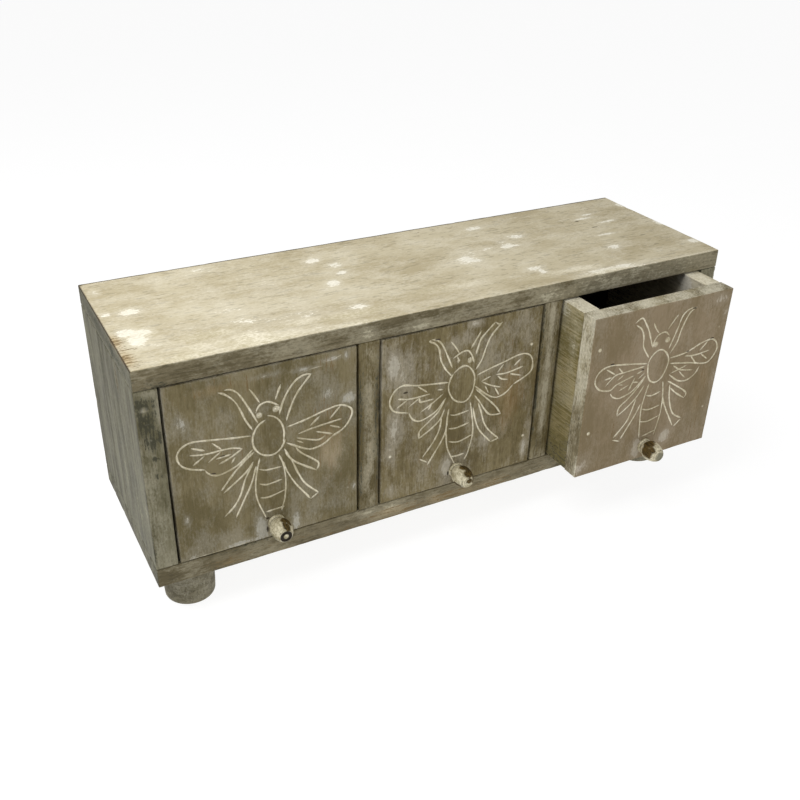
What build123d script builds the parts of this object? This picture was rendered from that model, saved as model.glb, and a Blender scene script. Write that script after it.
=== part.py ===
from build123d import *
import os

# A small wooden chest with a row of drawers, standing on four turned feet.
# Millimetres, +Z up, front towards -Y. The origin lies on the standing surface, under the middle
# of the carcass. The right-hand drawer is drawn part-way open.

# Carcass: the top lies over the sides, and the base runs under them
carcass_width = 400.0
carcass_depth = 122.5
carcass_height = 142.5
top_thickness = 12.5
base_thickness = 13.0
side_thickness = 13.0
divider_thickness = 13.5
top_edge_round = 1.0

# Back panel, let into a rebate round the back of the carcass
back_thickness = 4.0
back_lap = 6.0
back_gap = 0.2

# Feet
foot_height = 27.5
foot_diameter = 31.5
foot_bulge = 0.5
foot_edge_round = 1.5
foot_inset = 23.5

# Drawers, and the room that each has in its bay
drawer_names = ("left", "middle", "right")
divider_names = ("left", "right")
right_drawer_pull = 31.5
drawer_side_gap = 1.5
drawer_top_gap = 0.9
drawer_under_gap = 0.25
drawer_end_gap = 2.0
front_thickness = 12.0
front_edge_round = 0.6
drawer_side_thickness = 12.5
drawer_back_thickness = 12.0

# Drawer floor, let into a rebate under the four boards and kept clear of the base
floor_thickness = 4.0
floor_lap = 6.0
floor_gap = 0.2
floor_rise = 0.5

# Knob, turned with a collar, a narrow neck, a round belly and a flat end
knob_height = 10.0
knob_length = 16.0
knob_diameter = 13.2
knob_belly = 8.0
knob_collar_diameter = 10.6
knob_collar_length = 1.6
knob_neck_diameter = 9.2
knob_neck_length = 2.6
knob_end_diameter = 7.6

# Each knob was fixed by eye, a little off the middle of its front
left_knob_offset = 2.7
middle_knob_offset = -1.5
right_knob_offset = 0.4

# Nails and pins, with their heads sunk below the face and holes that fit them closely
carcass_nail_length = 32.0
carcass_nail_diameter = 1.8
carcass_nail_head = 3.0
carcass_nail_inset = 25.0
drawer_nail_length = 28.0
drawer_nail_diameter = 1.4
drawer_nail_head = 2.2
back_nail_inset = 28.0
pin_length = 12.0
pin_diameter = 1.2
pin_head = 2.0
pin_inset = 20.0
nail_head_height = 0.6
nail_sink = 0.4
nail_fit = 0.1

# Countersunk wood screws, and how far they bite into the foot and the knob
foot_screw_bite = 17.0
foot_screw_diameter = 3.5
foot_screw_head = 7.0
foot_screw_head_height = 2.6
knob_screw_bite = 9.5
knob_screw_diameter = 3.0
knob_screw_head = 5.8
knob_screw_head_height = 2.2
screw_sink = 0.3
screw_fit = 0.1

# Nails through each drawer's front, driven by eye. For its left end and its right end: how far the upper
# nail lies below the front's upper edge, and how far the lower nail lies above its lower edge
front_nail_insets = {
    "left": ((25.0, 30.0), (33.0, 20.0)),
    "middle": ((22.0, 34.0), (25.5, 22.0)),
    "right": ((22.0, 33.0), (26.5, 28.0)),
}

foot_screw_length = base_thickness + foot_screw_bite
knob_screw_length = front_thickness + knob_screw_bite

# Levels and planes of the carcass
left_face = -carcass_width / 2
right_face = carcass_width / 2
front_face = -carcass_depth / 2
back_face = carcass_depth / 2
base_bottom = foot_height
base_top = base_bottom + base_thickness
carcass_top = base_bottom + carcass_height
top_bottom = carcass_top - top_thickness
panel_front = back_face - back_thickness

# Bays for the drawers
bay_count = len(drawer_names)
bay_width = (carcass_width - 2 * side_thickness - (bay_count - 1) * divider_thickness) / bay_count
bay_lefts = [left_face + side_thickness + i * (bay_width + divider_thickness) for i in range(bay_count)]
divider_lefts = [bay_left + bay_width for bay_left in bay_lefts[:-1]]

# Drawer box, in its own frame: x = 0 in its middle, y = 0 on its front face, z = 0 under its lower edge
drawer_width = bay_width - 2 * drawer_side_gap
drawer_height = top_bottom - base_top - drawer_under_gap - drawer_top_gap
drawer_depth = panel_front - front_face - drawer_end_gap
drawer_half = drawer_width / 2
inner_half = drawer_half - drawer_side_thickness
drawer_back_front = drawer_depth - drawer_back_thickness
drawer_pulls = {"left": 0.0, "middle": 0.0, "right": right_drawer_pull}
knob_offsets = {"left": left_knob_offset, "middle": middle_knob_offset, "right": right_knob_offset}

# The ways a nail or screw can be driven; as drawn, it points down
DOWN = Rot(0, 0, 0)
UP = Rot(180, 0, 0)
TO_BACK = Rot(90, 0, 0)
TO_FRONT = Rot(-90, 0, 0)
TO_RIGHT = Rot(0, -90, 0)
TO_LEFT = Rot(0, 90, 0)
HANGING = (Align.CENTER, Align.CENTER, Align.MAX)


def block(x_low, x_high, y_low, y_high, z_low, z_high):
    """A square-edged piece between two corners."""
    middle = Pos((x_low + x_high) / 2, (y_low + y_high) / 2, (z_low + z_high) / 2)
    return middle * Box(x_high - x_low, y_high - y_low, z_high - z_low)


def nail(length, diameter, head):
    """A flat-headed nail, sunk below the face that it is driven into, which is at z = 0."""
    shank = Cylinder(diameter / 2, length, align=HANGING)
    return Pos(0, 0, -nail_sink) * (shank + Cylinder(head / 2, nail_head_height, align=HANGING))


def nail_hole(length, diameter, head):
    """The hole for such a nail, open to the face."""
    shank = Cylinder(diameter / 2 + nail_fit, nail_sink + length + nail_fit, align=HANGING)
    return shank + Cylinder(head / 2 + nail_fit, nail_sink + nail_head_height + nail_fit, align=HANGING)


def screw(length, diameter, head, head_height):
    """A countersunk screw, sunk below the face that it is driven into, which is at z = 0."""
    shank = Cylinder(diameter / 2, length, align=HANGING)
    return Pos(0, 0, -screw_sink) * (shank + Cone(diameter / 2, head / 2, head_height, align=HANGING))


def screw_hole(length, diameter, head, head_height):
    """The hole for such a screw, open to the face."""
    shank = Cylinder(diameter / 2 + screw_fit, screw_sink + length + screw_fit, align=HANGING)
    seat = Cone(diameter / 2 + screw_fit, head / 2 + screw_fit, head_height, align=HANGING)
    mouth = Cylinder(head / 2 + screw_fit, screw_sink, align=HANGING)
    return shank + Pos(0, 0, -screw_sink) * seat + mouth


def at_places(shape, places):
    """Copies of one shape, one at each place."""
    return [place * shape for place in places]


def group(shape, places):
    """Like pieces as one group of separate solids."""
    return Compound(children=[solid for copy in at_places(shape, places) for solid in copy.solids()])


carcass_nail = (carcass_nail_length, carcass_nail_diameter, carcass_nail_head)
drawer_nail = (drawer_nail_length, drawer_nail_diameter, drawer_nail_head)
pin = (pin_length, pin_diameter, pin_head)
foot_screw = (foot_screw_length, foot_screw_diameter, foot_screw_head, foot_screw_head_height)
knob_screw = (knob_screw_length, knob_screw_diameter, knob_screw_head, knob_screw_head_height)


def upright_middles():
    """The middles, across the width, of the sides and dividers."""
    sides = [left_face + side_thickness / 2, right_face - side_thickness / 2]
    return sides + [left + divider_thickness / 2 for left in divider_lefts]


def carcass_nail_places(face_z, way):
    """Two nails into each side and divider, through the top or the base."""
    rows = (front_face + carcass_nail_inset, back_face - carcass_nail_inset)
    return [Pos(x, y, face_z) * way for x in upright_middles() for y in rows]


def foot_places():
    """The four corners' feet: names and places of their middles on the standing surface."""
    x = carcass_width / 2 - foot_inset
    y = carcass_depth / 2 - foot_inset
    corners = {"front_left": (-x, -y), "front_right": (x, -y), "back_left": (-x, y), "back_right": (x, y)}
    return {name: Pos(*corner) for name, corner in corners.items()}


def foot_screw_places():
    """One screw down through the base into each foot."""
    return [place * Pos(0, 0, base_top) * DOWN for place in foot_places().values()]


def back_pin_places():
    """Pins round the back panel's edge, and two into each divider."""
    lap_middle = back_lap / 2
    low = base_top - lap_middle
    high = top_bottom + lap_middle
    spots = []
    for bay_left in bay_lefts:
        for x in (bay_left + pin_inset, bay_left + bay_width - pin_inset):
            spots += [(x, low), (x, high)]
    edges = [left_face + side_thickness - lap_middle, right_face - side_thickness + lap_middle]
    for x in edges + [left + divider_thickness / 2 for left in divider_lefts]:
        spots += [(x, base_top + pin_inset), (x, top_bottom - pin_inset)]
    return [Pos(x, back_face, z) * TO_FRONT for x, z in spots]


top_nails = carcass_nail_places(carcass_top, DOWN)
base_nails = carcass_nail_places(base_bottom, UP)
carcass_holes = at_places(nail_hole(*carcass_nail), top_nails + base_nails)
carcass_holes += at_places(nail_hole(*pin), back_pin_places())


def back_panel_box(gap):
    """The back panel's space, with a gap round its edges."""
    reach = back_lap + gap
    x_high = right_face - side_thickness + reach
    return block(-x_high, x_high, panel_front, back_face, base_top - reach, top_bottom + reach)


def carcass_board(x_low, x_high, z_low, z_high, back):
    """One board of the carcass, rebated for the back panel and drilled for its nails and pins."""
    board = block(x_low, x_high, front_face, back, z_low, z_high)
    return board - back_panel_box(back_gap) - carcass_holes


def top_board():
    """The top, with its upper edges eased."""
    board = carcass_board(left_face, right_face, top_bottom, carcass_top, back_face)
    upper_edges = board.faces().sort_by(Axis.Z)[-1].outer_wire().edges()
    return fillet(upper_edges, top_edge_round)


def base_board():
    """The base, drilled for the feet's screws."""
    board = carcass_board(left_face, right_face, base_bottom, base_top, back_face)
    return board - at_places(screw_hole(*foot_screw), foot_screw_places())


def foot():
    """A short turned foot, with its underside at z = 0."""
    radius = foot_diameter / 2
    corner = (radius - foot_bulge, 0)
    shoulder = (radius - foot_bulge, foot_height)
    outline = Polyline(corner, (0, 0), (0, foot_height), shoulder)
    outline += ThreePointArc(shoulder, (radius, foot_height / 2), corner)
    profile = make_face(outline)
    rim = profile.vertices().sort_by_distance(corner)[0]
    turned = revolve(Plane.XZ * fillet(rim, foot_edge_round), Axis.Z)
    return turned - Pos(0, 0, base_top) * screw_hole(*foot_screw)


def front_nail_places(name):
    """Nails through a drawer's front into the ends of its sides."""
    x = drawer_half - drawer_side_thickness / 2
    places = []
    for side, (upper, lower) in zip((-1, 1), front_nail_insets[name]):
        places += [Pos(side * x, 0, z) * TO_BACK for z in (lower, drawer_height - upper)]
    return places


def back_nail_places():
    """Nails through the drawer's sides into the ends of its back, two up each corner."""
    y = drawer_depth - drawer_back_thickness / 2
    ways = ((-drawer_half, TO_RIGHT), (drawer_half, TO_LEFT))
    heights = (back_nail_inset, drawer_height - back_nail_inset)
    return [Pos(x, y, z) * way for x, way in ways for z in heights]


def floor_pin_places():
    """Pins up through the floor's edge, two into each of the four boards."""
    lap_middle = floor_lap / 2
    side_x = inner_half + lap_middle
    side_rows = (front_thickness + pin_inset, drawer_back_front - pin_inset)
    end_x = inner_half - pin_inset
    end_rows = (front_thickness - lap_middle, drawer_back_front + lap_middle)
    spots = [(x, y) for x in (-side_x, side_x) for y in side_rows]
    spots += [(x, y) for x in (-end_x, end_x) for y in end_rows]
    return [Pos(x, y, floor_rise) * UP for x, y in spots]


def knob_screw_place(name):
    """The screw from inside a drawer's front, on its knob's axis."""
    return Pos(knob_offsets[name], front_thickness, knob_height) * TO_FRONT


def drawer_holes(name):
    """The holes for a drawer's nails and pins, and for its knob's screw."""
    holes = at_places(nail_hole(*drawer_nail), front_nail_places(name) + back_nail_places())
    holes += at_places(nail_hole(*pin), floor_pin_places())
    return holes + [knob_screw_place(name) * screw_hole(*knob_screw)]


def floor_box(gap, z_low):
    """The drawer floor's space, with a gap round its edges, from a level up to the floor's upper face."""
    reach = floor_lap + gap
    x_high = inner_half + reach
    z_high = floor_rise + floor_thickness
    return block(-x_high, x_high, front_thickness - reach, drawer_back_front + reach, z_low, z_high)


def drawer_board(x_low, x_high, y_low, y_high, holes):
    """One upright board of the drawer, rebated for the floor and drilled for its fasteners."""
    board = block(x_low, x_high, y_low, y_high, 0, drawer_height)
    return board - floor_box(floor_gap, 0) - holes


def drawer_front(holes):
    """The drawer's front, with the edges round its face eased."""
    board = drawer_board(-drawer_half, drawer_half, 0, front_thickness, holes)
    face_edges = board.faces().sort_by(Axis.Y)[0].outer_wire().edges()
    return fillet(face_edges, front_edge_round)


def knob():
    """A turned knob that points to the front, with its collar flat on the plane y = 0."""
    collar = knob_collar_diameter / 2
    neck = (knob_neck_diameter / 2, knob_neck_length)
    belly = (knob_diameter / 2, knob_belly)
    end = (knob_end_diameter / 2, knob_length)
    outline = Polyline(end, (0, knob_length), (0, 0), (collar, 0), (collar, knob_collar_length), neck)
    outline += TangentArc(belly, neck, tangent=(0, -1))
    outline += TangentArc(belly, end, tangent=(0, 1))
    return Rot(0, 0, 180) * revolve(make_face(outline), Axis.Y)


def drawer_pieces(name):
    """The pieces of one drawer, in the drawer's own frame."""
    holes = drawer_holes(name)
    knob_place = Pos(knob_offsets[name], 0, knob_height)
    return {
        "front": drawer_front(holes),
        "left_side": drawer_board(-drawer_half, -inner_half, front_thickness, drawer_depth, holes),
        "right_side": drawer_board(inner_half, drawer_half, front_thickness, drawer_depth, holes),
        "back": drawer_board(-inner_half, inner_half, drawer_back_front, drawer_depth, holes),
        "floor": floor_box(0, floor_rise) - holes,
        "knob": knob_place * knob() - holes,
        "knob_screw": knob_screw_place(name) * screw(*knob_screw),
        "front_nails": group(nail(*drawer_nail), front_nail_places(name)),
        "back_nails": group(nail(*drawer_nail), back_nail_places()),
        "floor_pins": group(nail(*pin), floor_pin_places()),
    }


def carcass_pieces():
    """The pieces of the carcass, with its feet."""
    pieces = {
        "top_board": top_board(),
        "base_board": base_board(),
        "left_side": carcass_board(left_face, left_face + side_thickness, base_top, top_bottom, back_face),
        "right_side": carcass_board(right_face - side_thickness, right_face, base_top, top_bottom, back_face),
        "back_panel": back_panel_box(0) - carcass_holes,
        "top_nails": group(nail(*carcass_nail), top_nails),
        "base_nails": group(nail(*carcass_nail), base_nails),
        "back_panel_pins": group(nail(*pin), back_pin_places()),
        "foot_screws": group(screw(*foot_screw), foot_screw_places()),
    }
    for name, x in zip(divider_names, divider_lefts):
        pieces[f"{name}_divider"] = carcass_board(x, x + divider_thickness, base_top, top_bottom, panel_front)
    for name, place in foot_places().items():
        pieces[f"{name}_foot"] = place * foot()
    return pieces


def chest_pieces():
    """Every piece of the chest, by name, each drawer in its bay."""
    pieces = carcass_pieces()
    for name, bay_left in zip(drawer_names, bay_lefts):
        place = Pos(bay_left + bay_width / 2, front_face - drawer_pulls[name], base_top + drawer_under_gap)
        for piece_name, piece in drawer_pieces(name).items():
            pieces[f"{name}_drawer_{piece_name}"] = place * piece
    return pieces


os.makedirs("parts", exist_ok=True)
for name, piece in chest_pieces().items():
    export_step(piece, f"parts/{name}.step")
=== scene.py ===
import math
import random

import bmesh
import bpy
import numpy as np
from mathutils import Matrix, Vector, noise


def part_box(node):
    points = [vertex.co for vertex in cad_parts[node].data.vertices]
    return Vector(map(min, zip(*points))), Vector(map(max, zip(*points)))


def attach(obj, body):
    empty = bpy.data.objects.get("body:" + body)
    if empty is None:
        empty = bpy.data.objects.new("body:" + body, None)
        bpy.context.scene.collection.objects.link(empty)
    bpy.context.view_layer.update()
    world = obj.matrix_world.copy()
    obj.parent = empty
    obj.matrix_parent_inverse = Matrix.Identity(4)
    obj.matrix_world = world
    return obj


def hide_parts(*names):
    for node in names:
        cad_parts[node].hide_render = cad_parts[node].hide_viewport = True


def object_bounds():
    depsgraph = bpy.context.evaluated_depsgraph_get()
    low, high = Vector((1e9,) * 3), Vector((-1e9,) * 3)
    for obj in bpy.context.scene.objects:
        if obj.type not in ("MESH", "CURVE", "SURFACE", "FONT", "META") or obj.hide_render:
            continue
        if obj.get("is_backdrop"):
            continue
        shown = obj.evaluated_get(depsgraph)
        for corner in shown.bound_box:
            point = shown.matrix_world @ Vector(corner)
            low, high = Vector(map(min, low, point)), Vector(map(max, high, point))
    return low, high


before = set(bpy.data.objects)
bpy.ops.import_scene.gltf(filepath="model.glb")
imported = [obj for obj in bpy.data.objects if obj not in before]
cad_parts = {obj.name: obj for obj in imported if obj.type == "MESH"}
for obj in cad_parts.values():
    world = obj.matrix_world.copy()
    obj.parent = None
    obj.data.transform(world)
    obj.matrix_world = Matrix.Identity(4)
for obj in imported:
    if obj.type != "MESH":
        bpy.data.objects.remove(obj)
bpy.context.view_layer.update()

# The base board is one sawn plank under the whole chest, and its front edge is the lower rail.
# It is plain softwood, stained olive brown and brushed thinly with limewash.
# It is nailed up into the sides and dividers, and the back panel lies in a rebate along its back.
MM = 0.001
EASE = 0.7 * MM
CELL = 3.0 * MM
ALONG_X, ALONG_Y, ALONG_Z = 0, 1, 2


def block_mesh(shape, low, high):
    """Adds a square-edged block between two corners to a shape."""
    made = bmesh.ops.create_cube(shape, size=1.0)["verts"]
    for corner in made:
        corner.co = Vector([(low[i] + high[i]) / 2 + corner.co[i] * (high[i] - low[i]) for i in range(3)])


def show(shape, name):
    """Makes a finished shape into a piece of the scene."""
    mesh = bpy.data.meshes.new(name)
    bmesh.ops.recalc_face_normals(shape, faces=shape.faces[:])
    shape.to_mesh(mesh)
    shape.free()
    piece = bpy.data.objects.new(name, mesh)
    bpy.context.scene.collection.objects.link(piece)
    return piece


def plank(name, low, high, cell=CELL):
    """A sawn board between two corners, with eased edges, in cells small enough for its edges to wear."""
    shape = bmesh.new()
    block_mesh(shape, low, high)
    bmesh.ops.bevel(shape, geom=shape.edges[:], offset=EASE, segments=3, profile=0.5, affect="EDGES")
    for axis in range(3):
        across = Vector([float(i == axis) for i in range(3)])
        count = max(1, round((high[axis] - low[axis]) / cell))
        for step in range(1, count):
            place = low + (high - low) * step / count
            everything = shape.verts[:] + shape.edges[:] + shape.faces[:]
            bmesh.ops.bisect_plane(shape, geom=everything, plane_co=place, plane_no=across)
    return show(shape, name)


def points_of(piece):
    """The places of a piece's points, one row each."""
    places = np.empty(len(piece.data.vertices) * 3)
    piece.data.vertices.foreach_get("co", places)
    return places.reshape(-1, 3)


def mark(piece, kind, amounts):
    """Writes how much of one kind of wear or paint lies at each point of a piece."""
    held = piece.data.attributes.get(kind) or piece.data.attributes.new(kind, "FLOAT", "POINT")
    held.data.foreach_set("value", np.asarray(amounts, np.float32))


def marks_of(piece, kind):
    """Reads such marks back, or none."""
    amounts = np.zeros(len(piece.data.vertices), np.float32)
    if kind in piece.data.attributes:
        piece.data.attributes[kind].data.foreach_get("value", amounts)
    return amounts


def own_place(name):
    """A place in the tree for one piece, so that no two pieces have the same grain."""
    chance = random.Random(name)
    return Vector([chance.uniform(-3, 3) for _ in range(3)])


def edge_distance(places, low, high):
    """How far each point of a board lies from the board's nearest edge."""
    near = np.minimum(places - np.array(low), np.array(high) - places)
    return np.sort(near, axis=1)[:, 1]


EDGE_BAND = 2.4 * MM
RUB_REACH = 3.0 * MM


def mark_edges(piece, places, low, high):
    """Marks a narrow band along a board's edges, where paint rubs thin."""
    mark(piece, "edge", np.clip(1 - edge_distance(places, low, high) / EDGE_BAND, 0, 1))


def wear_edges(piece, low, high, depth):
    """Rubs a board's edges back unevenly, with a knock here and there, and never past its sawn size."""
    places = points_of(piece)
    to_low, to_high = places - np.array(low), np.array(high) - places
    inward = np.where(to_low < to_high, 1.0, -1.0)
    hold = np.clip(1 - np.minimum(to_low, to_high) / RUB_REACH, 0, 1)
    close = np.clip(1 - edge_distance(places, low, high) / RUB_REACH, 0, 1)
    start = own_place(piece.name)
    for i in np.flatnonzero(close > 0):
        spot = Vector(places[i])
        rub = 0.5 + 0.5 * noise.fractal(spot * 60 + start, 0.8, 2.0, 3)
        knock = max(0.0, noise.noise(spot * 130 + start) - 0.42) * 2.2
        places[i] += inward[i] * hold[i] * close[i] ** 2 * depth * (0.45 * rub + knock)
    piece.data.vertices.foreach_set("co", places.ravel())
    mark_edges(piece, places, low, high)


def lay_grain(piece, along, shorten=1.0):
    """Gives a piece its grain: coordinates whose first runs along the wood, shortened where it was turned."""
    order = [along] + [axis for axis in range(3) if axis != along]
    grain = points_of(piece)[:, order] * (shorten, 1, 1) + np.array(own_place(piece.name))
    held = piece.data.attributes.new("grain", "FLOAT_VECTOR", "POINT")
    held.data.foreach_set("vector", grain.astype(np.float32).ravel())


def daub(piece, kind, spots):
    """Marks spots on a piece: middle and reach in millimetres, and a strength that fades outwards."""
    places = points_of(piece) / MM
    amounts = marks_of(piece, kind)
    for middle, reach, strength in spots:
        away = (((places - middle) / reach) ** 2).sum(axis=1)
        amounts = np.maximum(amounts, strength * np.exp(-away))
    mark(piece, kind, amounts)


FRONT = -61.25


def on_front(rows, deep=3):
    """Spots on the carcass's front: rows of place across and up, reach both ways, and strength."""
    return [((x, FRONT, z), (wide, deep, tall), strength) for x, z, wide, tall, strength in rows]


def cut_away(piece, boxes, holes=()):
    """Saws rebates out of a board and sinks round holes in it, by their middle, axis, radius and depth."""
    shape = bmesh.new()
    for low, high in boxes:
        block_mesh(shape, low, high)
    for middle, axis, radius, depth in holes:
        turn = Vector([float(i == axis) for i in range(3)]).to_track_quat("Z", "Y").to_matrix().to_4x4()
        place = Matrix.Translation(middle) @ turn
        bmesh.ops.create_cone(shape, cap_ends=True, segments=20, radius1=radius, radius2=radius,
                              depth=2 * depth, matrix=place)
    cutter = show(shape, piece.name + "_cutter")
    saw = piece.modifiers.new("saw", "BOOLEAN")
    saw.operation, saw.solver, saw.object = "DIFFERENCE", "EXACT", cutter
    sawn = piece.evaluated_get(bpy.context.evaluated_depsgraph_get())
    uncut, piece.data = piece.data, bpy.data.meshes.new_from_object(sawn)
    piece.modifiers.clear()
    bpy.data.meshes.remove(uncut)
    bpy.data.objects.remove(cutter)


def grown(node, gap):
    """A node's box with a gap all round it."""
    low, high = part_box(node)
    return low - Vector((gap,) * 3), high + Vector((gap,) * 3)


HEAD_ROOM = 0.1 * MM
WELD = 0.001 * MM


def sunk_heads(node, axis, face, depth):
    """The holes that nail heads sit in, one for each separate nail of a node, open to a face."""
    shape = bmesh.new()
    shape.from_mesh(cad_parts[node].data)
    bmesh.ops.remove_doubles(shape, verts=shape.verts[:], dist=WELD)
    waiting, holes = set(shape.verts), []
    while waiting:
        nail, front = set(), [waiting.pop()]
        while front:
            point = front.pop()
            nail.add(point)
            beside = {edge.other_vert(point) for edge in point.link_edges} & waiting
            front += beside
            waiting -= beside
        spots = np.array([point.co for point in nail])
        middle = (spots.min(axis=0) + spots.max(axis=0)) / 2
        size = np.delete(spots.max(axis=0) - spots.min(axis=0), axis)
        middle[axis] = face
        holes.append((Vector(middle), axis, size.max() / 2 + HEAD_ROOM, depth))
    shape.free()
    return sorted(holes, key=lambda hole: tuple(hole[0]))


def colour(red, green, blue):
    """A colour as the eye names it, from 0 to 255, turned into light."""
    shares = [c / 255 for c in (red, green, blue)]
    return tuple(s / 12.92 if s <= 0.04045 else ((s + 0.055) / 1.055) ** 2.4 for s in shares) + (1.0,)


def put(tree, kind, inputs, **choices):
    """Adds one step to a finish: its inputs are numbers, colours or what other steps give."""
    step = tree.nodes.new("ShaderNode" + kind)
    for key, value in choices.items():
        setattr(step, key, value)
    for key, value in inputs.items():
        if isinstance(value, bpy.types.NodeSocket):
            tree.links.new(value, step.inputs[key])
        else:
            step.inputs[key].default_value = value
    return step


def cloud(tree, place, along, across, detail=4.0, rough=0.55):
    """Soft random blotches, by their length along the grain and their width across it in millimetres."""
    scale = (1 / (along * MM), 1 / (across * MM), 1 / (across * MM))
    stretched = put(tree, "Mapping", {"Vector": place, "Scale": scale}).outputs[0]
    inputs = {"Vector": stretched, "Scale": 1.0, "Detail": detail, "Roughness": rough}
    return put(tree, "TexNoise", inputs).outputs[0]


def ramp(tree, value, start, end, low=0.0, high=1.0):
    """Turns a value into a soft step between two levels."""
    inputs = {"Value": value, "From Min": start, "From Max": end, "To Min": low, "To Max": high}
    return put(tree, "MapRange", inputs, interpolation_type="SMOOTHSTEP").outputs[0]


def sums(tree, first, *shares):
    """Adds shares of other values to a first one."""
    for value, share in shares:
        first = put(tree, "Math", {0: value, 1: share, 2: first}, operation="MULTIPLY_ADD").outputs[0]
    return first


def coat(tree, share, under, over):
    """Lays one colour over another where its share is high."""
    return put(tree, "Mix", {0: share, 6: under, 7: over}, data_type="RGBA").outputs[2]


def marks(tree, kind):
    """The marks of one kind that a piece carries."""
    return put(tree, "Attribute", {}, attribute_name=kind).outputs["Fac"]


def new_finish(name):
    """Opens a finish, and gives it with its steps and its shader."""
    finish = bpy.data.materials.new(name)
    finish.use_nodes = True
    return finish, finish.node_tree, finish.node_tree.nodes["Principled BSDF"]


def grain_of(tree):
    """The grain that a piece carries."""
    return put(tree, "Attribute", {}, attribute_name="grain").outputs["Vector"]


FINE_RELIEF = 0.25 * MM


def cover(tree, shader, base, rough, gloss, relief, strength):
    """Gives a finish its colour, roughness, gloss and fine relief."""
    tree.links.new(base, shader.inputs["Base Color"])
    tree.links.new(rough, shader.inputs["Roughness"])
    shader.inputs["Specular IOR Level"].default_value = gloss
    bump = put(tree, "Bump", {"Height": relief, "Strength": strength, "Distance": FINE_RELIEF})
    tree.links.new(bump.outputs[0], shader.inputs["Normal"])


def darker(tint, share):
    """A share of a colour's light."""
    return tuple(c * share for c in tint[:3]) + (1.0,)


# What lies on every board's wood: washed-out stain and its brown streaks, dirt and painted shade, cream
# paint, and dark chips with lines of painted shade along some edges.
STAIN_WASH, STAIN_STREAK, DIRT_AND_SHADE = colour(186, 150, 92), colour(106, 83, 42), colour(46, 46, 30)
DULL_CREAM, BRIGHT_CREAM, CHIPPED_WOOD_AND_EDGE_SHADE = colour(190, 180, 148), colour(240, 233, 211), colour(44, 33, 20)


def limewashed_wood(name, deep, pale, lime, haze=0.3, streak=0.5, flecks=0.4, rubbed=0.3, cloudy=1.0,
                    fibre=(20, 1.2), pore=(6, 0.8)):
    """Stained wood under limewash: grain, pores, a thin haze, thick lime, rubbed edges, stains, and dirt with
    painted shade.
    """
    finish, tree, shader = new_finish(name)
    deep, pale, lime = colour(*deep), colour(*pale), colour(*lime)
    place = grain_of(tree)
    broad = cloud(tree, place, 60, 30, 3)
    mottle = cloud(tree, place, 8, 4, 5, 0.65)
    fibres = cloud(tree, place, *fibre, 4, 0.6)
    pores = cloud(tree, place, *pore, 2)
    patches = cloud(tree, place, 24, 14, 7, 0.62)
    specks = cloud(tree, place, 2.2, 1.2, 3, 0.7)
    growth = sums(tree, broad, (mottle, cloudy), (fibres, streak), (specks, 0.3))
    middle = 0.5 * (1.3 + cloudy + streak)
    wood = coat(tree, ramp(tree, growth, middle - 0.2, middle + 0.2), deep, pale)
    wood = coat(tree, ramp(tree, pores, 0.57, 0.65, 0.0, flecks), wood, darker(deep, 0.45))
    film = sums(tree, patches, (fibres, 0.6 * streak), (specks, 0.4))
    middle = 0.5 * (1.4 + 0.6 * streak)
    white = coat(tree, ramp(tree, specks, 0.3, 0.7), darker(lime, 0.8), lime)
    thin = sums(tree, film, (marks(tree, "lime"), 0.4))
    wood = coat(tree, ramp(tree, thin, middle - 0.08, middle + 0.22, 0.0, haze), wood, white)
    thick = sums(tree, marks(tree, "lime"), (film, 2.0))
    thick = ramp(tree, thick, 2 * middle + 0.52, 2 * middle + 0.75, 0.0, 0.92)
    wood = coat(tree, thick, wood, white)
    rub = sums(tree, marks(tree, "edge"), (patches, 1.2), (specks, 0.5))
    wood = coat(tree, ramp(tree, rub, 1.6, 2.1, 0.0, rubbed), wood, white)
    wash = sums(tree, marks(tree, "stain"), (patches, 0.5))
    wood = coat(tree, ramp(tree, wash, 0.55, 1.0, 0.0, 0.55), wood, STAIN_WASH)
    brown = sums(tree, wash, (specks, 1.2), (fibres, 2.0))
    wood = coat(tree, ramp(tree, brown, 2.3, 2.5, 0.0, 0.75), wood, STAIN_STREAK)
    # The dirt marks carry real dirt and painted shade alike, and both darken the wood here.
    grime = sums(tree, marks(tree, "grime"), (marks(tree, "lime"), -0.3), (specks, 1.4), (patches, 0.5),
                 (fibres, 1.4))
    wood = coat(tree, ramp(tree, grime, 2.0, 2.4, 0.0, 0.85), wood, DIRT_AND_SHADE)
    creamy = ramp(tree, sums(tree, patches, (specks, 1.0)), 0.75, 1.25)
    cream = coat(tree, creamy, DULL_CREAM, BRIGHT_CREAM)
    wood = coat(tree, ramp(tree, marks(tree, "cream"), 0.15, 0.6, 0.0, 0.95), wood, cream)
    # The chip marks carry real chips and dark lines of painted shade along some edges.
    wood = coat(tree, ramp(tree, marks(tree, "chip"), 0.35, 0.6, 0.0, 0.9), wood, CHIPPED_WOOD_AND_EDGE_SHADE)
    relief = sums(tree, fibres, (pores, -0.4), (thick, 0.4))
    cover(tree, shader, wood, ramp(tree, patches, 0.3, 0.7, 0.62, 0.82), 0.25, relief, 0.3)
    return finish


def other_finish(piece, finish, chosen):
    """Gives some faces of a piece another finish, by which way they face."""
    piece.data.materials.append(finish)
    last = len(piece.data.materials) - 1
    for face in piece.data.polygons:
        if chosen(face.normal):
            face.material_index = last


def stand_for(piece, node, body):
    """Puts a finished piece in place of its plain solid, on the body that carries it."""
    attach(piece, body)
    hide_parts(node)


BOARD_RUB = 0.55 * MM
PANEL_GAP = 0.2 * MM


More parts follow.
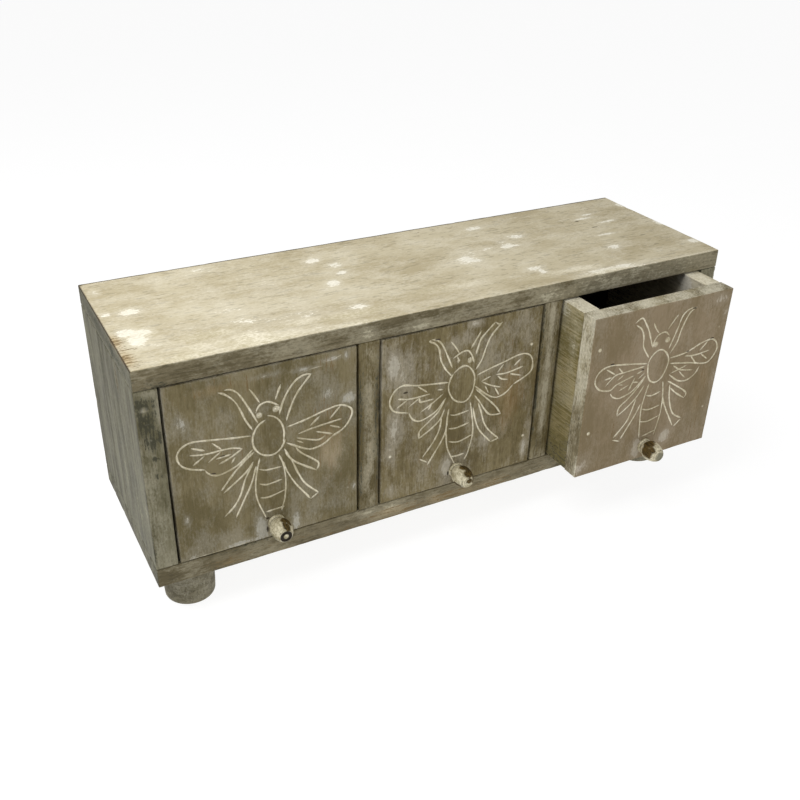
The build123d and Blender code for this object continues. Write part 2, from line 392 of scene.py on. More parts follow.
def carcass_plank(node, along, finish, cell=CELL, heads=()):
    """One worn board of the carcass, rebated for the back panel and dented for the heads it hides."""
    low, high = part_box(node)
    piece = plank("worn_" + node, low, high, cell)
    wear_edges(piece, low, high, BOARD_RUB)
    rebate_low, rebate_high = grown("back_panel", PANEL_GAP)
    rebate_low.y += PANEL_GAP
    rebates = [(rebate_low, rebate_high)] if high.y > rebate_low.y + PANEL_GAP / 2 else []
    if rebates or heads:
        cut_away(piece, rebates, heads)
    lay_grain(piece, along)
    piece.data.materials.append(finish)
    stand_for(piece, node, "cabinet")
    return piece


rail_finish = limewashed_wood("olive_rail_wood", (90, 81, 56), (120, 111, 86), (182, 175, 150),
                              haze=0.4, streak=0.6)
NAIL_DENT, SCREW_DENT = 0.5 * MM, 0.4 * MM
base_low, base_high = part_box("base_board")
base_heads = sunk_heads("foot_screws", ALONG_Z, base_high.z, SCREW_DENT)
base_heads += sunk_heads("base_nails", ALONG_Z, base_low.z, NAIL_DENT)
base_board = carcass_plank("base_board", ALONG_X, rail_finish, heads=base_heads)
daub(base_board, "lime", on_front([(-66, 37, 10, 4, 0.75), (-40, 34, 26, 5, 0.5)]))
# A band of painted shadow, cast by the left drawer's front, lies along the rail's upper edge under that
# drawer over some real dirt, and a thin line of painted shade lies under the middle drawer's gap.
daub(base_board, "grime", on_front([(-150, 41, 34, 4, 0.62), (-105, 41, 30, 3.5, 0.5)], deep=4))
daub(base_board, "grime", on_front([(0, 41.5, 60, 1.6, 0.5)]))
daub(base_board, "stain", on_front([(-158, 32, 20, 5, 0.5), (-20, 32, 130, 7, 0.45)]))

# The two sides stand on the base under the top board. They are upright planks, planed smooth and
# stained a dark grey, with bare dark wood showing down the front edge of the left one.
# The base and the top are nailed into their ends.
SIDE_CELL = 2.0 * MM
side_finish = limewashed_wood("grey_side_wood", (80, 77, 60), (111, 108, 90), (146, 144, 124),
                              haze=0.45, streak=1.1, flecks=0.3, cloudy=0.5, fibre=(90, 7))
stile_finish = limewashed_wood("olive_stile_wood", (88, 83, 58), (115, 110, 86), (166, 161, 140),
                               haze=0.5, streak=0.6)
other_finish(base_board, side_finish, lambda normal: normal.x < -0.6)
left_side = carcass_plank("left_side", ALONG_Z, side_finish, SIDE_CELL)
daub(left_side, "grime", on_front([
    (-195.5, 149, 8, 8, 0.75), (-194.8, 138, 8, 13, 0.8), (-193.5, 126, 6, 8, 0.72),
    (-189.5, 128, 1.8, 6, 0.9), (-192.5, 115, 3.2, 1.8, 0.85), (-191.5, 104, 3.4, 1.8, 0.8),
    (-190.5, 97, 1.8, 3.5, 0.6), (-190, 84, 2.2, 12, 0.4),
]))
daub(left_side, "grime", on_front([(-199.6, 55, 0.9, 18, 0.75)], deep=2))
daub(left_side, "chip", on_front([(-199.8, 57, 0.9, 17, 0.48)], deep=1.2))
daub(left_side, "cream", on_front([(-195.4, 146, 3.4, 2.8, 0.37), (-194.6, 137, 2, 2, 0.29),
                                   (-194, 127, 2, 2, 0.28)], deep=2))
daub(left_side, "lime", on_front([(-190, 155, 8, 2, 0.6), (-188, 142, 1.2, 10, 0.6),
                                  (-194, 62, 5, 24, 0.35)], deep=2))
daub(left_side, "stain", on_front([(-198, 120, 3, 26, 0.36)], deep=2))
daub(left_side, "cream", [((-200, -56, 78), (2, 9, 42), 0.24)])
daub(left_side, "lime", [((-200, -30, 75), (2, 50, 45), 0.35)])
daub(left_side, "stain", [((-200, -20, 150), (2, 60, 30), 0.25)])
daub(left_side, "grime", [((-200, 0, 150), (1, 80, 40), 0.25), ((-200, 40, 90), (1, 30, 60), 0.2)])
right_side = carcass_plank("right_side", ALONG_Z, side_finish, SIDE_CELL)
daub(right_side, "grime", on_front([(195, 110, 3, 40, 0.5)], deep=4))
for side_board in (left_side, right_side):
    other_finish(side_board, stile_finish, lambda normal: normal.y < -0.6)

# The two dividers are upright planks between the drawers, held like the sides by nails into their ends.
# Their front edges have more limewash than the rails, in upright streaks, and are darker down both sides,
# with dirt and with painted shade from the gaps beside the drawers.
divider_finish = limewashed_wood("streaky_divider_wood", (88, 77, 45), (118, 107, 75), (178, 170, 146),
                                 haze=0.55, streak=0.6, rubbed=0.0)
divider_washes = {"left": [(132, 0.25), (106, 0.25)],
                  "right": [(146, 0.95), (118, 0.95), (92, 0.95), (72, 0.95)]}
divider_dirt_and_shade = {"left": 4.4, "right": 1.5}
dividers = {}
for side, washes in divider_washes.items():
    node = side + "_divider"
    low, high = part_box(node)
    middle = (low.x + high.x) / 2 / MM
    dividers[side] = carcass_plank(node, ALONG_Z, divider_finish, SIDE_CELL)
    daub(dividers[side], "lime", on_front([(middle, height, 2.4, 18, lime) for height, lime in washes]))
    # Each front edge is darkened with dirt and with painted shade from the gap beside it, wider on the left
    # divider.
    edges = (low.x / MM, high.x / MM)
    daub(dividers[side], "grime", on_front([(edge, 100, divider_dirt_and_shade[side], 80, 0.65) for edge in edges]))
daub(dividers["left"], "lime", on_front([(-65, 75, 3, 20, 0.5)]))
daub(dividers["right"], "grime", on_front([(65, 54, 5, 7, 0.5)]))

# The back panel is a thin plain board let into the back of the carcass and pinned round its edge.
# It was stained with the rest and hardly limewashed, and the pins' heads show in their dents.
PANEL_RUB = 0.3 * MM
panel_finish = limewashed_wood("thin_board_wood", (104, 95, 72), (130, 120, 94), (164, 158, 138),
                               haze=0.3, streak=0.6, cloudy=0.5)
panel_low, panel_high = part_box("back_panel")
back_panel = plank("worn_back_panel", panel_low, panel_high)
wear_edges(back_panel, panel_low, panel_high, PANEL_RUB)
cut_away(back_panel, [], sunk_heads("back_panel_pins", ALONG_Y, panel_high.y, NAIL_DENT))
lay_grain(back_panel, ALONG_X)
back_panel.data.materials.append(panel_finish)
stand_for(back_panel, "back_panel", "cabinet")

# The top board lies over the sides and dividers and is nailed down into them.
# Its upper face is cream with limewash, whiter towards the left and the front, partly from real limewash
# and partly as painted light where the overhead box falls nearest, with a brown stain at one end.
# Its edges are olive like the rails, its left end is dark, and painted shade lines its back and left arrises.
UPPER = 170.0
BACK = 61.25
LEFT_END = -200
# A reach that takes in all of a piece.
WHOLE = 1000
cream_finish = limewashed_wood("cream_top_wood", (176, 164, 133), (196, 186, 158), (244, 239, 222),
                               haze=0.25, streak=0.35, flecks=0.4, rubbed=0.0, cloudy=0.3,
                               fibre=(12, 1.3), pore=(7, 1.6))


def on_top(rows, thick=2):
    """Spots on the upper face: rows of place across and back, reach both ways, and strength."""
    return [((x, y, UPPER), (wide, deep, thick), strength) for x, y, wide, deep, strength in rows]


top_board = carcass_plank("top_board", ALONG_X, rail_finish)
daub(top_board, "lime", on_front([
    (-113, 166, 12, 4, 0.6), (-35, 161, 22, 4, 0.5), (10, 163, 20, 5, 0.3), (130, 164, 60, 9, 0.78),
    (-65, 163, 10, 5, 0.6), (62, 161, 12, 6, 0.75),
], deep=2))
# The cream and lime towards the left front are partly real limewash and partly painted light where the
# overhead box falls nearest.
daub(top_board, "cream", on_top([
    (-168, -58, 24, 10, 0.46), (-128, -58, 40, 9, 0.5), (-70, -60, 45, 6, 0.42), (-10, -61, 50, 3, 0.32),
    (-133, -50, 14, 10, 0.5), (-184, -22, 16, 16, 0.34), (-182, 10, 14, 12, 0.3), (108, -58, 26, 4, 0.5),
    (-132, -52, 30, 8, 0.5), (-159, -48, 22, 8, 0.38), (-99, -45, 30, 8, 0.36), (-150, -38, 28, 9, 0.43),
    (-71, -48, 35, 8, 0.46), (0, -38, 40, 8, 0.4), (68, -48, 30, 6, 0.4), (94, -48, 26, 6, 0.43),
], thick=1))
daub(top_board, "lime", on_top([
    (-120, -20, 80, 45, 0.34), (-140, -54, 55, 8, 0.25), (-138, 50, 28, 9, 0.38), (-190, -17, 7, 6, 1.1),
    (-183, -20, 8, 5, 1.05), (-187, -27, 6, 8, 1.1), (-177, -14, 7, 4, 0.5), (-181, 10, 9, 6, 0.95),
    (-186, 6, 4, 5, 0.65), (-194, 44, 5, 6, 0.95), (-194.6, 11, 4, 4, 1.0), (-133, -47, 9, 5, 0.65),
    (-128, -36, 6, 8, 0.45), (-92, -55, 5, 4, 0.6), (-58, 35.5, 7, 5, 0.9), (-48, 24, 8, 6, 1.0),
    (-60, -1.5, 5.5, 4.5, 1.15), (-48.5, 10, 5, 3, 0.9), (-62.5, -40, 9, 4.5, 0.95),
    (35.5, -5.5, 11, 8, 1.1), (42, 4, 18, 10, 0.45), (72, 14, 7, 5, 1.1), (73, 5, 7, 4, 0.95),
    (88, 17.5, 10, 4.5, 1.0), (58, 8, 8, 3, 0.6), (64, -36, 9, 4.5, 0.85), (68, -42, 4, 3.2, 1.3),
    (68, 45, 9, 5, 0.9), (107, -57, 26, 4, 1.05), (138, -27, 8, 7, 0.95), (149, -4.5, 11, 2, 1.1),
    (152, 28.4, 9, 2.2, 1.0), (161, 34.4, 7, 2.2, 0.9), (167, 16.4, 10, 2, 1.0), (199, -2, 3, 5, 1.2),
    (196, -40, 4, 4, 1.2), (198, 41, 3, 5, 1.0),
]))
daub(top_board, "stain", on_top([(-199, -24, 7, 14, 0.58), (-198, -46, 7.5, 17, 0.58),
                                 (-199.5, 8, 2.5, 16, 0.4)], thick=3))
daub(top_board, "stain", on_top([(38, 52, 50, 7, 0.27), (174, 48, 30, 7, 0.25)]))
# The dark lines along the whole back edge and along the left end are painted shade on those arrises; the
# short chips are real.
daub(top_board, "chip", on_top([
    (145.5, 25.4, 5, 0.9, 0.62), (150, 10.5, 5, 0.9, 0.62), (171, -16.4, 6, 0.9, 0.57),
    (168, -34.4, 5, 0.9, 0.57), (0, BACK, WHOLE, 3, 0.72),
]))
daub(top_board, "chip", on_top([(LEFT_END, 0, 1.4, WHOLE, 0.62)], thick=1.4))
# Painted shade along the back arris and high on the left end.
daub(top_board, "grime", on_top([(0, BACK, WHOLE, 1.6, 0.5)], thick=3))
daub(top_board, "grime", on_front([(-188, 159, 16, 3, 0.6)]) + [((LEFT_END, 0, 164), (2, 90, 6), 0.6)])
other_finish(top_board, cream_finish, lambda normal: normal.z > 0.8)
other_finish(top_board, side_finish, lambda normal: normal.x < -0.6)

# The four feet are short turned drums under the corners, each held by a screw from inside.
# They are softwood with a grey limewash, darker flecks of bare wood, and a crisp lower edge.
FOOT_SIDES = 64
foot_finish = limewashed_wood("grey_foot_wood", (88, 82, 62), (120, 114, 92), (172, 167, 148),
                              haze=0.5, streak=0.2, flecks=0.5)


def turned(name, outline, place, sides):
    """A piece turned on the lathe: an outline of radius and height in millimetres, spun round its axis."""
    shape = bmesh.new()
    rings = []
    for radius, height in outline:
        if radius == 0:
            rings.append([shape.verts.new((0, 0, height * MM))])
            continue
        angles = [2 * math.pi * i / sides for i in range(sides)]
        rings.append([shape.verts.new((radius * MM * math.cos(a), radius * MM * math.sin(a), height * MM))
                      for a in angles])
    for lower, upper in zip(rings, rings[1:]):
        for i in range(sides):
            corners = [lower[i % len(lower)], lower[(i + 1) % len(lower)],
                       upper[(i + 1) % len(upper)], upper[i % len(upper)]]
            shape.faces.new(dict.fromkeys(corners))
    shape.transform(place)
    piece = show(shape, name)
    piece.data.shade_smooth()
    return piece


def foot_outline(radius, height):
    """A drum that swells a little in the middle, with its lower rim eased."""
    bulge, rim, inset, steps = 0.5, 1.2, 3, 12
    rows = [(0, 0), (radius - bulge - rim - inset, 0), (radius - bulge - rim, 0)]
    rows += [(radius - bulge - rim + rim * math.sin(a), rim - rim * math.cos(a)) for a in (0.5, 1.0, 1.4)]
    for step in range(steps):
        rise = rim + (height - rim) * step / (steps - 1)
        rows.append((radius - bulge * (2 * rise / height - 1) ** 2, rise))
    return rows + [(radius - bulge - inset, height), (0, height)]


for corner in ("front_left", "front_right", "back_left", "back_right"):
    node = corner + "_foot"
    low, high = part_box(node)
    middle = (low + high) / 2
    stand = Matrix.Translation((middle.x, middle.y, low.z))
    piece = turned("turned_" + node, foot_outline((high.x - low.x) / 2 / MM, (high.z - low.z) / MM),
                   stand, FOOT_SIDES)
    lay_grain(piece, ALONG_Z, shorten=3.0)
    piece.data.materials.append(foot_finish)
    stand_for(piece, node, "cabinet")

# The drawer boxes have butted and nailed boards, with a thin floor pinned into a rebate below.
# Outside they are olive and streaked with the grain, their upper edges white and ragged with limewash.
# Inside they are bare wood, coloured very dark as painted shade, and their sides darken with painted shade
# towards the back and the floor.
DRAWERS = ("left", "middle", "right")
DRAWER_RUB = 0.5 * MM
FLOOR_GAP = 0.2 * MM
drawer_finish = limewashed_wood("olive_drawer_wood", (110, 100, 60), (152, 139, 99), (190, 184, 160),
                                haze=0.3, streak=0.9, flecks=0.4, cloudy=0.6, fibre=(40, 1.2))
edge_finish = limewashed_wood("ragged_edge_wood", (114, 104, 78), (154, 144, 116), (226, 220, 198),
                              haze=0.6, streak=0.4, flecks=0.55, pore=(5, 1.0))
inner_finish = limewashed_wood("pale_inner_wood", (158, 147, 120), (190, 180, 154), (222, 216, 200),
                               haze=0.3, streak=0.5)
# The inside is coloured very dark to stand for the shade in the drawer.
painted_shade_inside_finish = limewashed_wood("dark_inside_wood", (18, 8, 5), (28, 14, 9), (52, 36, 28), haze=0.1)
# How much cream paint is left on each side's upper edge, and which way that side's inner face looks.
edge_paint = {"left_side": 0.26, "right_side": 0.42}
inward = {"left_side": 1, "right_side": -1}

for side in DRAWERS:
    floor_node = f"{side}_drawer_floor"
    for board, along in (("left_side", ALONG_Y), ("right_side", ALONG_Y), ("back", ALONG_X)):
        node = f"{side}_drawer_{board}"
        low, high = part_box(node)
        foot, brim, front_end, back_end = low.z / MM, high.z / MM, low.y / MM, high.y / MM
        piece = plank("worn_" + node, low, high)
        wear_edges(piece, low, high, DRAWER_RUB)
        cut_away(piece, [grown(floor_node, FLOOR_GAP)])
        lay_grain(piece, along)
        daub(piece, "lime", [((0, 0, brim), (WHOLE, WHOLE, 0.8), 0.2)])
        piece.data.materials.append(painted_shade_inside_finish if board == "back" else drawer_finish)
        other_finish(piece, edge_finish, lambda normal: normal.z > 0.6)
        if board != "back":
            other_finish(piece, inner_finish, lambda normal: normal.x * inward[board] > 0.6)
            daub(piece, "cream", [((0, 0, brim), (WHOLE, WHOLE, 0.8), edge_paint[board])])
            # Painted shade darkens each side towards the drawer's back and floor.
            daub(piece, "grime", [((0, back_end, 0), (WHOLE, 60, WHOLE), 0.5),
                                  ((0, 0, foot), (WHOLE, WHOLE, 40), 0.5)])
            daub(piece, "lime", [((0, front_end + 20, brim - 6), (WHOLE, 9, 9), 0.8),
                                 ((0, front_end + 6, brim - 30), (WHOLE, 4, 22), 0.6)])
        stand_for(piece, node, f"{side}_drawer")
    low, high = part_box(floor_node)
    piece = plank("worn_" + floor_node, low, high)
    cut_away(piece, [], sunk_heads(f"{side}_drawer_floor_pins", ALONG_Z, low.z, NAIL_DENT))
    lay_grain(piece, ALONG_X)
    piece.data.materials.append(painted_shade_inside_finish)
    stand_for(piece, floor_node, f"{side}_drawer")

# The drawer fronts are upright boards, each carved by hand with a bee in plain gouge lines.
# The cuts show cream, the faces are olive brown with patches of limewash, and four nails are filled white.
# Each is nailed to the ends of its drawer's sides, and the floor lies in a rebate along its foot.
FRONT_CELL = 0.4
FRONT_EASE = 0.65 * MM
BACK_EASE = 0.4 * MM
FACE_DEPTH = 4.0 * MM
GROOVE_DEPTH = 0.9 * MM
NAIL_HOLE, NAIL_SINK, NAIL_FILLING = 1.6, 0.2, 1.25
SCUFF = 1.3
# How wide a gouge each part of a bee was cut with, in millimetres and in the order of the cutting.
gouges = {"body": 1.7, "wings": 1.7, "legs": 1.7, "head": 1.7, "veins": 1.6, "tail": 1.44, "bands": 1.6}

# Each bee was drawn and cut by eye, so no two are alike. Every line gives the places it runs through,
# across from the board's left end and down from its upper edge, in millimetres.
bees = {
    "left": {
        "body": [[(56.2, 33.8), (52, 36.3), (49, 40.5), (47.8, 46), (49, 51.5), (53, 56.3), (59, 58.2),
                  (64, 55.8), (67.6, 50)], [(57.5, 31.5), (61.5, 33.3), (65, 37.5), (66.8, 44), (66.2, 52)]],
        "head": [[(50.8, 28), (51.8, 25.5), (54, 23.3), (58.5, 22.8), (64.5, 26.5)],
                 [(47.8, 12), (50.5, 16.5), (53.3, 22)], [(66.2, 13.5), (64.5, 17.5), (62.5, 22.5)]],
        "wings": [[(47, 42), (38, 40.8), (25, 38.6), (14, 37), (8.5, 38.3), (5.2, 41.5), (4.5, 46), (7, 51),
                   (12, 54.3), (19.3, 56.7)],
                  [(19.3, 57), (21, 59.8), (26, 62.5), (33, 61.3), (40, 58), (48, 51)],
                  [(69, 42), (80, 40.2), (92, 37.3), (101, 36), (106.5, 37.8), (109.8, 41.5), (108.5, 47),
                   (104, 52.5), (96.5, 56)], [(96.5, 56), (92, 59.3), (86, 61), (80, 60), (68, 52.5)]],
        "veins": [[(11.5, 45), (20, 46.6), (34, 46.8), (41.5, 48.8)], [(41.5, 49), (34, 53), (27, 55.5)],
                  [(24.5, 40.5), (29.5, 46)], [(12.7, 40.7), (20.3, 44.3)], [(19.8, 47.5), (12.8, 52)],
                  [(29, 47.5), (21.5, 52.5)], [(26, 51.5), (35, 50.8)], [(37, 53.5), (34.5, 57)],
                  [(75.5, 48.5), (85, 47), (103, 45.5)], [(82.5, 45.5), (89.3, 40)],
                  [(95.5, 43.5), (102.5, 36.5)], [(95.5, 48.3), (102.5, 51.5)], [(86.5, 50), (97, 54.3)],
                  [(74.5, 51), (87, 55.8), (92, 54.5)], [(74.5, 53), (78.5, 55.5)]],
        "legs": [[(30.2, 10), (34.5, 12.5), (39, 17.5), (42, 24), (44.5, 31), (48, 38)],
                 [(33.5, 9.3), (37.5, 10), (41.5, 13.5), (46, 22), (51.5, 34.5)],
                 [(64.3, 33), (67, 25), (70.5, 18.5), (75, 13.3), (80, 11), (84.5, 11.2)],
                 [(68.5, 38), (71.5, 29.5), (76, 21), (84.5, 11.2)],
                 [(48.5, 53), (42, 58), (35.5, 64), (27.5, 73.5)], [(47.5, 59.5), (42, 66), (28.8, 75.5)],
                 [(47, 61), (42, 70), (38.5, 80), (34, 87), (27.7, 92.5)],
                 [(49, 63), (45.5, 74), (41, 83), (34.8, 95)],
                 [(73.5, 57), (77, 62), (87.3, 71.5), (86.2, 76.8)], [(67, 59), (73, 67), (86.2, 76.8)],
                 [(66.5, 56), (71, 66), (74.5, 75.5), (79, 84.5), (87, 93.3)],
                 [(65, 64), (68, 73), (73, 83), (82, 96.5)], [(87, 93.3), (82, 96.5)]],
        "tail": [[(51.5, 58), (49.5, 66), (48, 75), (48.3, 86), (53, 101)],
                 [(63, 59), (65.5, 67), (66.5, 78), (65.5, 90), (63, 99)]],
        "bands": [[(50.3, 65.5), (55, 67.5), (64.5, 67.8)], [(50.3, 75.8), (55, 77.7), (64.5, 76.7)],
                  [(50, 85.8), (56, 86.8), (66, 84.7)], [(53, 97), (65, 96.5)]],
        "eyes": [(52.6, 30, 3.2), (62.7, 28.4, 3.7)],
    },
    "middle": {
        "body": [[(49.5, 33.5), (53.5, 30.8), (57, 29.8), (60.5, 31.3), (64, 36), (65.3, 42), (64, 50),
                  (60.5, 55), (55.5, 55.3), (50, 51.5), (46.5, 44), (47.3, 37.5), (49.5, 33.5)]],
        "head": [[(48.5, 23), (54.5, 20), (59, 19.8), (62, 23.5), (64, 29)], [(51.5, 22), (53, 25.5)],
                 [(46.5, 11), (50, 15.5), (52.7, 20)], [(68, 8), (64.5, 13.5), (61, 18.8)]],
        "wings": [[(46.5, 39), (36, 37.5), (24, 35.7), (14.5, 33.5), (9, 35.8), (5.8, 41), (6, 46),
                   (9.5, 50.5), (19, 53.7)],
                  [(19, 53.9), (21.5, 58.8), (26.5, 61.5), (33, 60), (39, 56.7), (45, 49.5)],
                  [(67, 38.7), (77, 36), (87, 33.8), (96, 31.5), (102.5, 31.5), (107, 34.3), (109, 40),
                   (107, 46.5), (95, 52)],
                  [(95, 52), (91, 56), (86.5, 58.2), (81.5, 58.3), (75, 54.5), (65.5, 46)]],
        "veins": [[(11, 42), (20, 44), (33.5, 43.8)], [(24.5, 36.5), (31.5, 42.3)],
                  [(10.3, 48.3), (17.5, 44.3)], [(18.3, 49.7), (25.5, 45.5), (27, 48), (36, 48)],
                  [(27, 55.3), (34, 51.7), (43, 46)], [(32, 55.5), (35, 51.5)], [(38.5, 42.3), (43, 43)],
                  [(81, 41.7), (90, 42.3), (101.7, 40.3)], [(82, 40.5), (86.5, 35.3)],
                  [(94.5, 38.5), (99.5, 34.3)], [(92, 43.7), (101, 46.8)],
                  [(82.5, 43), (86, 46), (91, 47.5)], [(70.5, 44), (77.5, 41.8)],
                  [(71, 44.5), (78, 48.7), (86, 52)], [(73.5, 48), (76.3, 53.5)], [(81, 51), (84.5, 57)]],
        "legs": [[(33.2, 6.8), (31.7, 7.8), (35.5, 10), (38.5, 14.5), (40, 22), (43.5, 29), (48.5, 35.2)],
                 [(33.2, 6.8), (37.5, 8.5), (41.5, 13.5), (48.3, 29)],
                 [(65, 24), (66.5, 18), (69, 12.5), (77.8, 4.2)],
                 [(65.5, 34.5), (69.5, 28.5), (72, 21), (75.5, 13), (82.8, 5.3)],
                 [(78, 4.4), (80, 6), (82, 5.8)], [(44.5, 50), (40, 58), (33, 64), (27, 69), (26.5, 74.3)],
                 [(44.5, 57), (41.5, 64), (35, 69.5), (26.5, 74.3)],
                 [(42.5, 63), (41, 72), (37, 80), (29.5, 89.5)],
                 [(47, 63), (46, 73), (43, 81), (33.2, 96.5)], [(27.7, 90.3), (33.2, 94)],
                 [(66.5, 48.5), (72, 54), (82, 64.5), (87.3, 72)],
                 [(66, 53), (70, 58.5), (78, 69.8), (87.3, 72)],
                 [(69, 59), (72, 67), (74.5, 75), (79, 82.5), (87, 90.8)],
                 [(65.5, 62), (68, 72), (72, 81), (81, 92)], [(81, 92), (87, 90.8)]],
        "tail": [[(47.5, 58), (46.3, 68), (46.5, 78), (48, 88), (54, 101.5)],
                 [(63, 57), (64.8, 66), (66.5, 80), (64, 94), (61, 100.5)]],
        "bands": [[(48.5, 62.7), (53, 64), (62.5, 63)], [(48, 73), (54, 73.8), (63.3, 72.3)],
                  [(48.5, 82.8), (56, 84.8), (66, 82.2)], [(50.5, 94.7), (55.5, 95.5), (61, 95)]],
        "eyes": [(52.5, 25.3, 2.1), (61, 26.8, 3.3)],
    },
    "right": {
        "body": [[(48.7, 41), (50.5, 37), (54, 33.7), (57.5, 33), (61, 34.5), (65, 39), (66.3, 45), (63, 54),
                  (58, 57), (53, 55), (50, 49.5), (48.7, 41)]],
        "head": [[(50.5, 30), (50.8, 25.5), (53, 22), (57, 20.5), (60, 21), (63, 24)],
                 [(48, 12), (50.5, 16.5), (53.5, 20)], [(68, 9.8), (64.5, 14), (61, 19)]],
        "wings": [[(48, 41), (38, 39), (27, 37), (18.5, 35.7), (12.5, 36.3), (8, 39), (6, 43.5), (7.3, 48),
                   (11.5, 52), (19.5, 54), (24.5, 51), (38, 47.5)],
                  [(20, 56.5), (23, 60), (28, 62), (34, 61), (39.5, 58.5), (48.5, 50)],
                  [(67, 41.3), (80.5, 40.3), (92, 36.3), (98.5, 35), (103, 35), (107, 38), (109, 43),
                   (107, 48), (103, 52), (97, 52), (87, 49.3), (68, 45.5)],
                  [(95.5, 54), (93.5, 58), (90, 60.8), (85, 62.3), (78, 60.7), (69, 54)]],
        "veins": [[(15, 50), (22, 44), (30, 43.2), (46, 42.5)], [(13, 45), (19.5, 44.5)],
                  [(14, 37.5), (22, 43)], [(24, 38.5), (28.5, 43.5)], [(24.5, 48), (29.5, 44.8)],
                  [(26, 51.5), (30, 52.5)], [(27, 56.3), (35, 53.5)], [(39.5, 49), (35, 58.5)],
                  [(40, 47), (45, 45.3)], [(38, 52.5), (43, 53.5)], [(42, 51), (47, 47.5)],
                  [(80, 42.7), (90, 44), (102.5, 43)], [(93, 41.5), (99, 35.8)], [(95, 44.5), (101.5, 49.5)],
                  [(85.5, 43.5), (91.5, 50.5)], [(70, 53.5), (84, 50.3)],
                  [(71.5, 48), (79, 52.7), (90, 55.3)], [(77.5, 53.5), (84, 59.8)]],
        "legs": [[(33.5, 10.5), (38.5, 14.5), (41, 20), (42.5, 28), (48.5, 36.8)],
                 [(32, 9), (37.5, 6.5), (41.5, 11.5), (45, 17.5), (50, 29.5)],
                 [(64.5, 34), (67, 27), (69.5, 19.5), (71.5, 12.5), (75, 8.7), (80.5, 7.2)],
                 [(66.5, 37.5), (71, 30), (73, 21), (77.5, 11), (83, 7.5)],
                 [(47.5, 52), (42.5, 58), (36.5, 64), (29.5, 69.5), (28.8, 75.8)],
                 [(48.5, 57), (43.5, 64.5), (37, 70.5), (28.8, 75.8)],
                 [(43, 66.5), (40.5, 76), (37.5, 83), (28.5, 92.7)], [(48, 71), (44.5, 79), (34.8, 95.3)],
                 [(28, 94.3), (34.8, 97)], [(69, 59), (76, 63.5), (87.5, 72), (86.8, 76.3)],
                 [(72.5, 65), (78, 70), (86.8, 76.3)],
                 [(71.5, 62), (73, 72), (76, 81), (80, 87.5), (87.5, 92.3)], [(66, 68), (70, 78), (81, 97)],
                 [(82, 98), (87.5, 93.5)]],
        "tail": [[(52.5, 57), (50.5, 66), (49.3, 77), (51.5, 99)],
                 [(64.5, 58), (66.5, 68), (67.4, 83), (64.5, 100.5)]],
        "bands": [[(51.5, 65.7), (57, 67), (64, 65.5)], [(50, 75.7), (56, 77.7), (65.5, 76.5)],
                  [(50.3, 85.7), (57, 87), (66.5, 85)], [(53.5, 98.5), (65, 96.3)]],
        "eyes": [(52.4, 28, 3.4), (62.2, 26.8, 3.6)],
    },
}


def curve_through(points, spacing):
    """A smooth curve through points, as points close together."""
    line = [np.array(points[0], float)]
    ends = [points[0]] + list(points) + [points[-1]]
    for before, start, end, after in zip(ends, ends[1:], ends[2:], ends[3:]):
        before, start, end, after = (np.array(p, float) for p in (before, start, end, after))
        count = max(1, math.ceil(np.linalg.norm(end - start) / spacing))
        for t in np.arange(1, count + 1) / count:
            bend = (end - before) * t + (2 * before - 5 * start + 4 * end - after) * t ** 2
            bend += (3 * start - before - 3 * end + after) * t ** 3
            line.append(start + bend / 2)
    return np.array(line)


def press(cut, across, down, half, depth, flat=0.0):
    """Presses one round dent into a front's cut, with sloping walls and a flat share in its middle."""
    first_row, last_row = int((down - half) / FRONT_CELL), int((down + half) / FRONT_CELL) + 2
    first_column, last_column = int((across - half) / FRONT_CELL), int((across + half) / FRONT_CELL) + 2
    window = cut[max(first_row, 0):last_row, max(first_column, 0):last_column]
    rows = np.arange(max(first_row, 0), max(first_row, 0) + window.shape[0]) * FRONT_CELL
    columns = np.arange(max(first_column, 0), max(first_column, 0) + window.shape[1]) * FRONT_CELL
    away = np.hypot(rows[:, None] - down, columns[None, :] - across)
    np.maximum(window, depth * np.minimum(1, (1 - away / half) / (1 - flat)), out=window)


GOUGE_STEP, RUN_IN, WAVER = 0.3, 4, 0.28


def gouge(cut, points, width, chance):
    """Runs a V gouge along a curve. It starts and ends shallow, and its width wavers with the hand."""
    line = curve_through(points, GOUGE_STEP)
    run = np.concatenate([[0], np.cumsum(np.linalg.norm(np.diff(line, axis=0), axis=1))])
    start = chance.uniform(0, 50)
    for (across, down), done in zip(line, run):
        taper = min(1.0, 0.5 + min(done, run[-1] - done) / RUN_IN)
        waver = 1 + WAVER * noise.noise(Vector((start + done * 0.22, start, 0)))
        press(cut, across, down, width / 2 * taper * waver, taper * waver)


PECKS = 6


def carve_bee(cut, bee, chance):
    """Carves one bee: each part's lines with its own gouge, and its eyes pecked out."""
    for part, width in gouges.items():
        for points in bee[part]:
            gouge(cut, points, width, chance)
    for across, down, size in bee["eyes"]:
        press(cut, across, down, size * 0.8, 0.4, flat=0.6)
        for _ in range(PECKS):
            angle, away = chance.uniform(0, 2 * math.pi), size * 0.5 * chance.random()
            peck = across + away * math.cos(angle), down + away * math.sin(angle)
            press(cut, *peck, size * 0.3, 0.6, flat=0.2)


HAIR = 0.01 * MM


